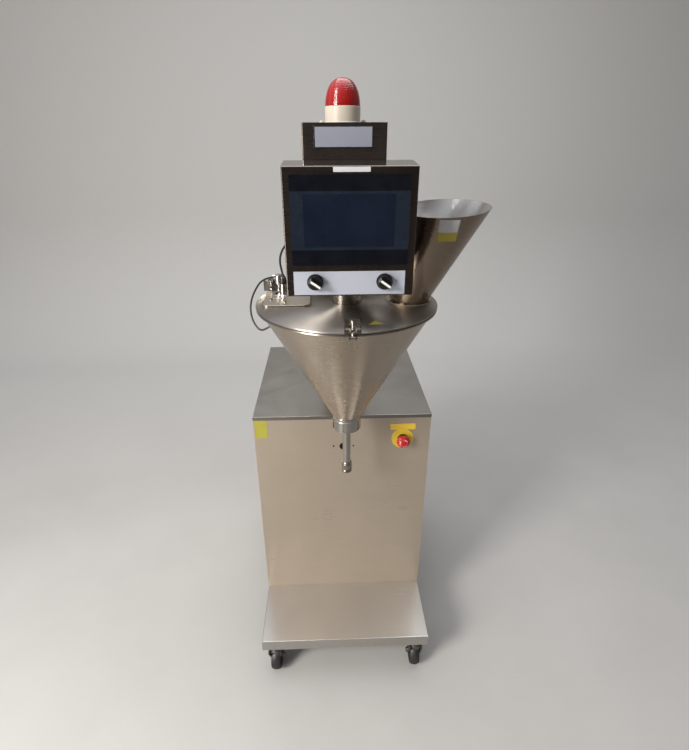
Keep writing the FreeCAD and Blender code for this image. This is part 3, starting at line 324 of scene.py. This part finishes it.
LOOK = {
    "base_tray": mat_tray, "base_frame": mat_zinc, "caster_swivels": mat_fork_painted_shade, "cabinet_shell": mat_side, "front_panel": mat_front,
    "top_cover": mat_cover, "door_hinges": mat_bright, "mounting_plate": mat_zinc, "control_units": mat_grey, "sockets": mat_black,
    "estop_legend": mat_yellow, "contact_blocks": mat_black, "column": mat_column, "drive_housing": mat_head_painted_shade, "servo_motor": mat_motor,
    "bearing_housing": mat_turned, "shaft_bearings": mat_chrome, "agitator_motor": mat_motor, "hopper_lid": mat_lid,
    "hopper_gasket": mat_gasket, "hopper_cone": mat_cone, "lid_lugs": mat_bright, "cone_lugs": mat_bright, "union_nut": mat_bright,
    "fill_tube": mat_bright, "tip_collar": mat_turned, "feed_funnel": mat_funnel_painted_shade, "level_sensor": mat_chrome, "sensor_plug": mat_black,
    "interlock_switch": mat_chrome, "control_box": mat_box_painted_shade, "box_rear_cover": mat_box_painted_shade, "hmi_bezel": mat_glass_panel,
    "hmi_screen": mat_display, "switch_plate": mat_switch, "beacon_base": mat_cream, "beacon_dome": mat_red_lens,
    "beacon_lamp": mat_lamp_g, "cable_sensor": mat_cable, "cable_loop": mat_cable,
    "fork_fl": mat_fork_painted_shade, "fork_fr": mat_fork_painted_shade, "fork_rl": mat_fork_painted_shade, "fork_rr": mat_fork_painted_shade,
    "wheel_fl": mat_rubber, "wheel_fr": mat_rubber, "wheel_rl": mat_rubber, "wheel_rr": mat_rubber,
    "rear_door": mat_front, "door_latch": mat_black, "estop_button": mat_red, "knob_left": mat_black, "knob_right": mat_black,
    "auger": mat_bright, "shaft_coupling": mat_turned, "agitator": mat_bright, "agitator_pinion": mat_turned,
    "swing_bolt_front": mat_bright, "swing_bolt_right": mat_bright, "swing_bolt_left": mat_bright,
}
for name, obj in nodes.items():
    obj.data.materials.clear()
    obj.data.materials.append(LOOK[name])




def second(name, mat, test):
    """Gives the faces of one CAD node that pass the test a second finish."""
    o = nodes[name]
    o.data.materials.append(mat)
    k = len(o.data.materials) - 1
    for p in o.data.polygons:
        if test(p):
            p.material_index = k


# the box top keeps the lighter steel; the sides keep the painted shade of the dark box steel
second("control_box", mat_box_top, lambda p: p.normal.z > 0.9 and p.center.z > 1.38)


def inside_funnel(p):
    c = p.center
    t = min(max((c.z - 1.109) / 0.19, 0.0), 1.0)
    a = Vector(((143 + 63.3 * t + SX) / 1000.0, (-93 - 7 * t + SY) / 1000.0))
    out = Vector((c.x, c.y)) - a
    return out.length > 1e-6 and Vector((p.normal.x, p.normal.y)).dot(out.normalized()) < -0.2


# the funnel's inner faces take the pale painted-reflection copy of its steel
second("feed_funnel", mat_funnel_in_painted_light, inside_funnel)
second("level_sensor", mat_plate_steel, lambda p: p.center.z < 1.11305)


# ------------------------------------------------------------------- helpers
def add(name, me, mat, body, smooth=True, bevel=0.0, seg=2):
    o = bpy.data.objects.new(name, me)
    scene.collection.objects.link(o)
    me.materials.append(mat)
    if smooth:
        for p in me.polygons:
            p.use_smooth = True
    if bevel:
        b = o.modifiers.new("edge", "BEVEL")
        b.width, b.segments, b.limit_method, b.angle_limit = bevel, seg, "ANGLE", math.radians(35)
        b.harden_normals = False
    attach(o, body)
    return o


def mesh(name, verts, faces):
    me = bpy.data.meshes.new(name)
    me.from_pydata([tuple(v) for v in verts], [], faces)
    bm = bmesh.new()
    bm.from_mesh(me)
    bmesh.ops.recalc_face_normals(bm, faces=bm.faces)
    bm.to_mesh(me)
    bm.free()
    me.update()
    return me


def outline_plate(pts, depth, place):
    """A closed plate: outline points in its plane, pushed by depth; place maps (u, v, w) to the row frame."""
    n = len(pts)
    v = [place(u, w, 0.0) for u, w in pts] + [place(u, w, depth) for u, w in pts]
    f = [list(range(n)), list(range(n, 2 * n))[::-1]] + [[i, (i + 1) % n, n + (i + 1) % n, n + i] for i in range(n)]
    return v, f


def rounded(x0, x1, z0, z1, r, k=6):
    pts = []
    for cx, cz, a0 in ((x1 - r, z1 - r, 0), (x0 + r, z1 - r, 90), (x0 + r, z0 + r, 180), (x1 - r, z0 + r, 270)):
        for i in range(k + 1):
            a = math.radians(a0 + 90.0 * i / k)
            pts.append((cx + r * math.cos(a), cz + r * math.sin(a)))
    return pts


def front_plate(name, x0, x1, z0, z1, y, t, r, mat, body="machine", bevel=0.00012):
    """A thin plate with rounded corners on a face that looks to the operator."""
    v, f = outline_plate(rounded(x0, x1, z0, z1, r), t, lambda u, w, d: M(u, y - d, w))
    return add(name, mesh(name, v, f), mat, body, smooth=False, bevel=bevel, seg=2)


def lathe(name, prof, cx, cy, seg, mat, body="machine", wob=None):
    """Profile of (radius, height) in mm turned about a vertical axis; wob(angle, i) adds to the radius."""
    verts, faces = [], []
    for i, (r, z) in enumerate(prof):
        for k in range(seg):
            a = 2 * math.pi * k / seg
            rr = max(r + (wob(a, i) if wob and r > 0.01 else 0.0), 0.0)
            verts.append(M(cx + rr * math.cos(a), cy + rr * math.sin(a), z))
    n = len(prof)
    for i in range(n):
        j = (i + 1) % n
        for k in range(seg):
            q = (k + 1) % seg
            faces.append([i * seg + k, i * seg + q, j * seg + q, j * seg + k])
    me = mesh(name, verts, faces)
    bm = bmesh.new()
    bm.from_mesh(me)
    bmesh.ops.remove_doubles(bm, verts=bm.verts, dist=1e-7)
    bmesh.ops.dissolve_degenerate(bm, dist=1e-7, edges=bm.edges)
    bmesh.ops.recalc_face_normals(bm, faces=bm.faces)
    bm.to_mesh(me)
    bm.free()
    return add(name, me, mat, body)


def bead(name, pts, r, mat, body="machine", closed=True, seg=8, ripple=0.12, step=2.2):
    """A weld bead: a thin rippled rope of round section laid along points (row frame, m)."""
    path = []
    n = len(pts)
    for i in range(n if closed else n - 1):
        a, b = pts[i], pts[(i + 1) % n]
        k = max(1, int((b - a).length / (step / 1000.0)))
        for j in range(k):
            path.append(a.lerp(b, j / k))
    if not closed:
        path.append(pts[-1])
    n = len(path)
    verts, faces = [], []
    for i, p in enumerate(path):
        t = (path[(i + 1) % n] - path[i - 1]) if closed else (path[min(i + 1, n - 1)] - path[max(i - 1, 0)])
        t.normalize()
        u = t.orthogonal().normalized() if abs(t.z) > 0.95 else Vector((0, 0, 1)).cross(t).normalized()
        w = t.cross(u)
        rr = r * (1 + ripple * math.sin(i * 2.1) + 0.08 * rnd.uniform(-1, 1)) / 1000.0
        for k in range(seg):
            a = 2 * math.pi * k / seg
            verts.append(p + (u * math.cos(a) + w * math.sin(a)) * rr)
    for i in range(n if closed else n - 1):
        for k in range(seg):
            q, j = (k + 1) % seg, (i + 1) % n
            faces.append([i * seg + k, i * seg + q, j * seg + q, j * seg + k])
    if not closed:
        faces.append(list(range(seg)))
        faces.append(list(range((n - 1) * seg, n * seg)))
    return add(name, mesh(name, verts, faces), mat, body)


def patch(name, target, x0, x1, z0, z1, lift, thick, mat, nx=14, nz=14, skew=0.0):
    """A sticker that lies on a curved wall facing the operator; skew leans it in its own plane."""
    grid = []
    for j in range(nz + 1):
        for i in range(nx + 1):
            u, w = i / nx, j / nz
            x = x0 + (x1 - x0) * u + skew * (w - 0.5)
            z = z0 + (z1 - z0) * w
            o = M(x, -900, z)
            hit, loc, nor, _ = target.ray_cast(o, Vector((0, 1, 0)))
            if not hit:
                raise RuntimeError("sticker misses its wall")
            if nor.y > 0:
                nor = -nor
            grid.append((loc, nor))
    verts = [l + n * (lift / 1000.0) for l, n in grid] + [l + n * ((lift + thick) / 1000.0) for l, n in grid]
    w = nx + 1
    off = len(grid)
    faces = []
    for j in range(nz):
        for i in range(nx):
            a = j * w + i
            faces.append([a, a + 1, a + w + 1, a + w])
            faces.append([off + a, off + a + w, off + a + w + 1, off + a + 1])
    rim = [i for i in range(nx)] + [nx + w * j for j in range(nz)] + [nz * w + nx - i for i in range(nx)] + [w * (nz - j) for j in range(nz)]
    for i in range(len(rim)):
        a, b = rim[i], rim[(i + 1) % len(rim)]
        faces.append([a, b, off + b, off + a])
    return add(name, mesh(name, verts, faces), mat, "machine")


# -------------------------------------------------------------------- camera
def make_camera():
    cam = bpy.data.cameras.new("cam")
    o = bpy.data.objects.new("cam", cam)
    scene.collection.objects.link(o)
    cam.sensor_width = 36.0
    cam.lens = 488.8 * 36.0 / 750.0
    pitch, roll, yaw = math.radians(25.77), math.radians(-0.20), math.radians(1.97)
    F = Vector((math.sin(yaw) * math.cos(pitch), math.cos(yaw) * math.cos(pitch), -math.sin(pitch)))
    R0 = Vector((math.cos(yaw), -math.sin(yaw), 0))
    U0 = R0.cross(F)
    R = math.cos(roll) * R0 + math.sin(roll) * U0
    U = -math.sin(roll) * R0 + math.cos(roll) * U0
    m = Matrix((R, U, -F)).transposed().to_4x4()
    m.translation = M(-33.1, -1125.7, 1426.0)
    o.matrix_world = m
    cam.clip_start, cam.clip_end = 0.05, 60
    scene.camera = o


make_camera()


# --------------------------------------------------------------------- cords
def cord(name, pts, dia, node, mat):
    cu = bpy.data.curves.new(name, "CURVE")
    cu.dimensions = "3D"
    sp = cu.splines.new("NURBS")
    sp.points.add(len(pts) - 1)
    for p, q in zip(sp.points, pts):
        p.co = (*M(*q), 1.0)
    sp.order_u = 3
    sp.use_endpoint_u = True
    sp.resolution_u = 12
    cu.bevel_depth = dia / 2000.0
    cu.bevel_resolution = 5
    cu.use_fill_caps = True
    o = bpy.data.objects.new(name, cu)
    scene.collection.objects.link(o)
    cu.materials.append(mat)
    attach(o, "machine")
    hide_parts(node)
    return o


cord("sensor_lead", [(-132.5, -50, 1157.5), (-134.5, -50.5, 1168), (-136.8, -53, 1184), (-133.6, -60, 1203), (-124, -70, 1221),
                     (-109, -83, 1237), (-95.5, -94, 1245), (-78.0, -100, 1246)], 4.5, "cable_sensor", mat_cable)
cord("loop_lead", [(-158.85, -12.3, 1141.06), (-169.73, -13.4, 1139.85), (-186.5, -21, 1133.5), (-198.0, -31, 1117.5), (-206.5, -42, 1100),
                   (-209.5, -54, 1081.5), (-206.5, -65.5, 1063), (-198.0, -76, 1047), (-184.5, -86, 1037.5), (-167.3, -94.0, 1048.17),
                   (-157.7, -94.0, 1053.54)], 4.2, "cable_loop", mat_cable)

# -------------------------------------------------------------------- plates
front_plate("name_plate_frame", -52.5, 50.0, 1411.5, 1447.0, -195.0, 1.2, 1.5, mat_black, bevel=0.0003)
front_plate("name_plate_face", -50.3, 47.8, 1413.7, 1444.8, -196.2, 0.35, 0.8, mat_plate_lilac)
front_plate("box_label", -21.0, 40.0, 1378.0, 1385.7, -270.0, 0.25, 0.4, mat_white, bevel=0.0)
front_plate("panel_sticker", -236.0, -203.0, 696.0, 755.0, 0.0, 0.22, 0.6, mat_label_y, bevel=0.0)
patch("funnel_sticker_top", nodes["feed_funnel"], 177.0, 216.6, 1265.5, 1289.5, 0.12, 0.2, mat_white, skew=2.0)
patch("funnel_sticker_low", nodes["feed_funnel"], 176.4, 215.4, 1248.0, 1265.3, 0.12, 0.2, mat_label_y2, skew=1.5)
tri = [(43.0, -252.0), (73.0, -252.0), (58.0, -229.0)]
v, f = outline_plate(tri, 0.25, lambda u, w, d: M(u, w, 1109.0 + d))
add("lid_sticker", mesh("lid_sticker", v, f), mat_label_y, "machine", smooth=False)

# ------------------------------------------------------------- beacon lens
R_B, Z1, Z2 = 32.5, 1479.5, 1524.5


def dome_profile():
    n, h = 90, Z2 - Z1
    out, inn = [], []
    for i in range(n + 1):
        u = i / n
        z = Z1 + h * math.sin(u * math.pi / 2)
        r = (R_B - 0.6) * math.cos(u * math.pi / 2) ** 0.82 if i < n else 0.0
        if 2 < i < n - 4:
            r += 0.16 * math.sin((z - Z1) * 2 * math.pi / 2.6)
        out.append((r, z))
        ri = max((R_B - 0.6) * math.cos(u * math.pi / 2) ** 0.82 - 2.2, 0.0) if i < n else 0.0
        inn.append((ri, Z1 + (z - Z1) * (h - 2.2) / h))
    return out + list(reversed(inn))


lens = lathe("beacon_lens", dome_profile(), 0.0, -115.0, 96, mat_red_lens)
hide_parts("beacon_dome")

# ------------------------------------------------------------ selector knobs
def knob_piece(name, pts, z0, z1, kx, body, mat, bev=0.0002):
    c, s = math.cos(math.radians(-35)), math.sin(math.radians(-35))

    def place(u, w, d):
        x, y, z = u * c - w * s, u * s + w * c, z0 + d
        return M(kx + x, -270.0 - z, 1197.5 + y)
    v, f = outline_plate(pts, z1 - z0, place)
    return add(name, mesh(name, v, f), mat, body, smooth=False, bevel=bev)


for nm, kx, body in (("left", -55.0, "knob_l"), ("right", 68.0, "knob_r")):
    knob_piece("knob_pointer_" + nm, [(-9.0, -1.9), (11.2, -1.9), (11.2, 1.9), (-9.0, 1.9)], 20.9, 21.25, kx, body, mat_insert)
    # ribbed skirt round the knob
    ribs, faces = [], []
    for i in range(36):
        a = 2 * math.pi * i / 36
        ca, sa = math.cos(a), math.sin(a)
        b = len(ribs)
        for (r, t, z) in ((12.4, -0.35, 6.0), (12.4, 0.35, 6.0), (13.0, 0.2, 6.0), (13.0, -0.2, 6.0),
                          (12.4, -0.35, 10.8), (12.4, 0.35, 10.8), (12.85, 0.2, 10.6), (12.85, -0.2, 10.6)):
            x, y = r * ca - t * sa, r * sa + t * ca
            ribs.append(M(kx + x, -270.0 - z, 1197.5 + y))
        faces += [[b, b + 1, b + 2, b + 3], [b + 4, b + 7, b + 6, b + 5], [b, b + 4, b + 5, b + 1], [b + 2, b + 6, b + 7, b + 3],
                  [b + 1, b + 5, b + 6, b + 2], [b, b + 3, b + 7, b + 4]]
    add("knob_ribs_" + nm, mesh("knob_ribs_" + nm, ribs, faces), mat_black, body, smooth=False)

# ------------------------------------------------------- stop button arrows
PROF = [(0, 30.2), (5, 29.8), (10, 28.6), (14.5, 26), (17.2, 23)]


def head_h(r):
    for (r0, h0), (r1, h1) in zip(PROF, PROF[1:]):
        if r <= r1:
            return h0 + (h1 - h0) * (r - r0) / (r1 - r0)
    return 23.0


av, af = [], []
for k in range(3):
    a0 = math.radians(120 * k + 20)
    steps = 10
    b = len(av)
    for i in range(steps + 1):
        a = a0 + math.radians(62) * i / steps
        for r in (9.2, 11.4):
            for lift in (-0.15, 0.14):
                av.append(M(164.0 + r * math.cos(a), -(head_h(r) + lift), 687.0 + r * math.sin(a)))
    for i in range(steps):
        o = b + 4 * i
        af += [[o + 1, o + 5, o + 7, o + 3], [o, o + 2, o + 6, o + 4], [o, o + 4, o + 5, o + 1], [o + 2, o + 3, o + 7, o + 6]]
    af += [[b, b + 1, b + 3, b + 2], [b + 4 * steps, b + 4 * steps + 2, b + 4 * steps + 3, b + 4 * steps + 1]]
    b = len(av)
    a1 = a0 + math.radians(62)
    for a, r in ((a1, 7.4), (a1, 13.2), (a1 + math.radians(24), 10.3)):
        for lift in (-0.15, 0.14):
            av.append(M(164.0 + r * math.cos(a), -(head_h(r) + lift), 687.0 + r * math.sin(a)))
    af += [[b + 1, b + 5, b + 3], [b, b + 2, b + 4], [b, b + 1, b + 3, b + 2], [b + 2, b + 3, b + 5, b + 4], [b + 4, b + 5, b + 1, b]]
add("stop_arrows", mesh("stop_arrows", av, af), mat_pink, "estop", smooth=False)

# --------------------------------------------------------------- tip collar
def collar_profile():
    z0 = 658.0
    p = [(8.0, z0), (12.0, z0), (13.0, z0 + 1), (13.0, z0 + 7)]
    p += [(12.5, z0 + 7.4), (12.5, z0 + 8.6), (13.0, z0 + 9.0)]
    for i in range(9):
        p.append((13.0, z0 + 9.0 + (24.0 - 9.0) * (i + 0.5) / 9))
    p += [(13.0, z0 + 24.0), (12.5, z0 + 24.5), (12.5, z0 + 26.0), (12.9, z0 + 26.6), (11.4, z0 + 30.0), (10.05, z0 + 31.0),
          (10.05, z0 + 2), (8.0, z0 + 2)]
    return p


def knurl(a, i):
    return -0.16 + 0.16 * math.cos(a * 48) if 7 <= i <= 15 else 0.0


col = lathe("tip_collar_turned", collar_profile(), HX, HY, 288, mat_turned, wob=knurl)
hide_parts("tip_collar")

# --------------------------------------------------------------- weld beads
def circle(cx, cy, r, z, n=72):
    return [M(cx + r * math.cos(2 * math.pi * i / n), cy + r * math.sin(2 * math.pi * i / n), z) for i in range(n)]


def rect(x0, x1, y0, y1, z):
    return [M(x0, y0, z), M(x1, y0, z), M(x1, y1, z), M(x0, y1, z)]


bead("funnel_weld", circle(143, -93, 49.2, 1109.5), 1.1, mat_bead)
bead("column_weld", rect(-53.3, 67.3, 129.7, 210.3, 770.4), 1.6, mat_bead)
k = (187.8 - 33.5) / 276.0
bead("cone_seam", [M(HX, HY + 33.5 + k * (z - 825.0) + 0.05, z) for z in range(830, 1100, 3)], 0.9, mat_bead, closed=False)

# -------------------------------------------------------------------- stage
def make_stage():
    me = bpy.data.meshes.new("floor")
    prof = [(-2.6, 0.0), (0.0, 0.0), (1.9, 0.0)]
    for i in range(1, 25):
        a = math.radians(90.0 * i / 24)
        prof.append((1.9 + 0.9 * math.sin(a), 0.9 - 0.9 * math.cos(a)))
    prof += [(2.8, 3.6)]
    vs = [(x, y, z) for y, z in prof for x in (-9, 9)]
    me.from_pydata(vs, [], [[2 * i, 2 * i + 1, 2 * i + 3, 2 * i + 2] for i in range(len(prof) - 1)])
    for p in me.polygons:
        p.use_smooth = True
    o = bpy.data.objects.new("floor", me)
    scene.collection.objects.link(o)
    g = G("floor_pale")
    n1 = g.noise(g.p, 2.0, 4.0, 0.6)
    n2 = g.noise(g.p, 130.0, 3.0, 0.6)
    c = g.mix(g.rng(n1, 0.3, 0.7, 0.0, 1.0), (0.44, 0.43, 0.415), (0.48, 0.47, 0.455))
    _, yy, _ = g.sep(g.p)
    c = g.mix(g.rng(yy, 0.4, 2.2, 0.0, 1.0, True), c, (0.60, 0.595, 0.58))
    c = g.mix(g.rng(n2, 0.3, 0.7, 0.0, 0.12), c, (0.36, 0.355, 0.35))
    # painted reflection: glossy rays see the floor dark brown, darkest towards the front, as painted shade for the
    # steel to mirror
    painted_dark_reflection_ray = g.n("ShaderNodeLightPath").outputs["Is Glossy Ray"]
    c = g.mix(g.math("MULTIPLY", painted_dark_reflection_ray, g.rng(yy, -0.9, 1.2, 0.62, 0.25, True)), c, (0.05, 0.042, 0.036))
    g.link(c, g.b.inputs["Base Color"])
    g.set(Roughness=0.75)
    me.materials.append(g.m)


make_stage()


def make_world():
    w = bpy.data.worlds.new("studio")
    scene.world = w
    w.use_nodes = True
    t = w.node_tree
    t.nodes.clear()
    g = G.__new__(G)
    g.t = t
    out = g.n("ShaderNodeOutputWorld")
    bg1, bg2, mixs = g.n("ShaderNodeBackground"), g.n("ShaderNodeBackground"), g.n("ShaderNodeMixShader")
    x, y, z = g.sep(g.n("ShaderNodeTexCoord").outputs["Generated"])
    up = g.rng(z, 0.0, 0.9, 0.0, 1.0, True)
    base = g.mix(up, (0.66, 0.66, 0.66), (0.95, 0.96, 1.0))
    front = g.rng(y, -0.75, 0.1, 1.0, 0.0, True)
    low = g.rng(z, 0.12, 0.62, 1.0, 0.0, True)
    c = g.mix(g.math("MULTIPLY", front, low), base, (0.045, 0.034, 0.028))
    side = g.rng(x, -0.45, 0.7, 0.0, 0.78, True)
    c = g.mix(side, c, (0.10, 0.085, 0.075))
    g.link(c, bg1.inputs[0])
    bg1.inputs[1].default_value = 0.75
    bg2.inputs[0].default_value = (0.80, 0.80, 0.785, 1)
    bg2.inputs[1].default_value = 1.0
    lp = g.n("ShaderNodeLightPath")
    g.link(lp.outputs["Is Camera Ray"], mixs.inputs[0])
    g.link(bg1.outputs[0], mixs.inputs[1])
    g.link(bg2.outputs[0], mixs.inputs[2])
    g.link(mixs.outputs[0], out.inputs[0])


make_world()


def area(name, loc, target, size, watts, color):
    d = bpy.data.lights.new(name, "AREA")
    d.shape = "RECTANGLE"
    d.size, d.size_y = size
    d.energy = watts
    d.color = color
    o = bpy.data.objects.new(name, d)
    scene.collection.objects.link(o)
    o.location = loc
    o.rotation_euler = (Vector(target) - Vector(loc)).to_track_quat("-Z", "Y").to_euler()
    return o


K = M(-120, -100, 138)
area("key", tuple(K + 3.4 * Vector((-0.593, -0.534, 0.602))), tuple(M(0, -100, 800)), (0.9, 0.9), 95, (1.0, 0.96, 0.90))
area("fill", tuple(M(-1180, -1280, 760)), tuple(M(0, -60, 620)), (0.5, 0.9), 13, (1.0, 0.97, 0.93))
area("top", (0.2, 0.4, 3.4), (0, 0, 0.8), (2.4, 2.4), 45, (0.96, 0.98, 1.0))
scene.view_settings.view_transform = "Standard"
scene.view_settings.look = "None"
